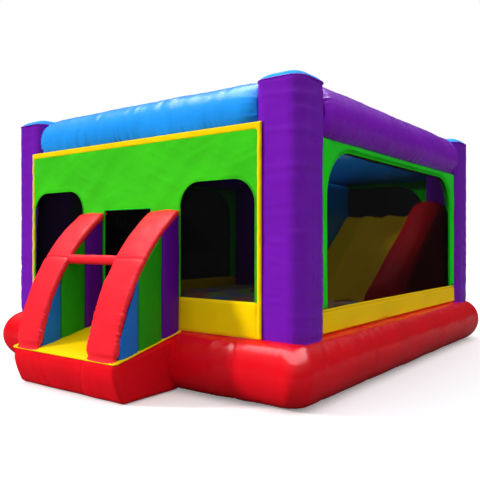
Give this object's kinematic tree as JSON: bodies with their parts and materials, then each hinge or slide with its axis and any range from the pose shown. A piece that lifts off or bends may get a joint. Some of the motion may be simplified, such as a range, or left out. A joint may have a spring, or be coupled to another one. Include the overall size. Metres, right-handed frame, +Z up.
{
  "type": "inflatable bounce house",
  "caption": "Open-top inflatable bounce house with arched entrance ramp, net windows, indoor climb and slide, and a rear blower.",
  "frame": {"origin": "on the ground at the centre of the four corner columns", "axes": "+X to the right along the front wall, +Y from the entrance towards the back, +Z up"},
  "size_m": [4.6, 7.2295, 3.0803],
  "materials": {
    "vinyl_red": "glossy coated vinyl",
    "vinyl_purple": "glossy coated vinyl",
    "vinyl_blue": "glossy coated vinyl",
    "vinyl_green": "satin coated vinyl",
    "vinyl_dark_green": "satin coated vinyl",
    "vinyl_yellow": "satin coated vinyl",
    "vinyl_pink": "satin coated vinyl",
    "floor_cover": "matt coated vinyl with printed dots",
    "net": "knitted black netting",
    "webbing": "woven webbing",
    "steel": "plated steel",
    "impeller": "moulded plastic",
    "blower_shell": "moulded plastic, fine grain",
    "blower_dark": "moulded plastic",
    "rocker": "moulded plastic"
  },
  "bodies": {
    "house": {"base_mattress": "vinyl_red", "base_bumper": "vinyl_red", "floor_cover": "floor_cover", "column_front_left": "vinyl_purple", "column_front_right": "vinyl_purple", "column_back_left": "vinyl_purple", "column_back_right": "vinyl_purple", "cap_front_left": "vinyl_blue", "cap_front_right": "vinyl_blue", "cap_back_left": "vinyl_blue", "cap_back_right": "vinyl_blue", "beam_front": "vinyl_blue", "beam_back": "vinyl_blue", "beam_left": "vinyl_purple", "beam_right": "vinyl_purple", "front_panel": "vinyl_green", "front_trim": "vinyl_yellow", "front_sill": "vinyl_yellow", "panel_left": "vinyl_dark_green", "panel_right": "vinyl_dark_green", "panel_back": "vinyl_dark_green", "sill_left": "vinyl_yellow", "sill_right": "vinyl_yellow", "sill_back": "vinyl_yellow", "net_front_left": "net", "net_front_right": "net", "net_left": "net", "net_right": "net", "net_back": "net", "ramp_cushion": "vinyl_red", "ramp_top": "vinyl_yellow", "arch_blue_left": "vinyl_blue", "arch_green_left": "vinyl_green", "arch_purple_left": "vinyl_purple", "arch_band_left": "vinyl_red", "arch_blue_right": "vinyl_blue", "arch_green_right": "vinyl_green", "arch_purple_right": "vinyl_purple", "arch_band_right": "vinyl_red", "cross_bar": "vinyl_pink", "slide_lane": "vinyl_yellow", "slide_bolster_right": "vinyl_red", "slide_bolster_left": "vinyl_red", "slide_divider": "vinyl_blue", "climb_wall": "vinyl_green", "blower_housing": "blower_shell", "blower_grille": "blower_dark", "blower_motor": "blower_dark", "blower_switch_box": "blower_dark", "inflation_tube": "vinyl_red", "anchor_tab_left": "webbing", "anchor_tab_right": "webbing"},
    "curtain": {"door_curtain": "net"},
    "impeller": {"blower_impeller": "impeller"},
    "rocker": {"blower_rocker": "rocker"},
    "flap": {"deflation_flap": "vinyl_red"},
    "slider": {"zip_slider": "steel"},
    "ring_left": {"anchor_ring_left": "steel"},
    "ring_right": {"anchor_ring_right": "steel"}
  },
  "joints": [
    {"name": "curtain_swing", "type": "hinge", "parent": "house", "child": "curtain", "pos_m": [0, -2.501, 1.845], "axis": [1, 0, 0], "range_deg": [-35, 80]},
    {"name": "impeller_spin", "type": "hinge", "parent": "house", "child": "impeller", "pos_m": [-1.2, 3.62, 0.226], "axis": [1, 0, 0], "continuous": true},
    {"name": "switch_rock", "type": "hinge", "parent": "house", "child": "rocker", "pos_m": [-1.044, 3.49, 0.276], "axis": [0, 1, 0], "range_deg": [-9, 9]},
    {"name": "flap_lift", "type": "hinge", "parent": "house", "child": "flap", "pos_m": [0.95, 2.733, 0.362], "axis": [1, 0, 0], "range_deg": [0, 120]},
    {"name": "zip_slide", "type": "slide", "parent": "house", "child": "slider", "axis": [1, 0, 0], "range_m": [0, 0.28]},
    {"name": "ring_left_swing", "type": "hinge", "parent": "house", "child": "ring_left", "pos_m": [-1.55, 2.729, 0.12], "axis": [1, 0, 0], "range_deg": [-20, 90]},
    {"name": "ring_right_swing", "type": "hinge", "parent": "house", "child": "ring_right", "pos_m": [1.55, 2.729, 0.12], "axis": [1, 0, 0], "range_deg": [-20, 90]}
  ]
}
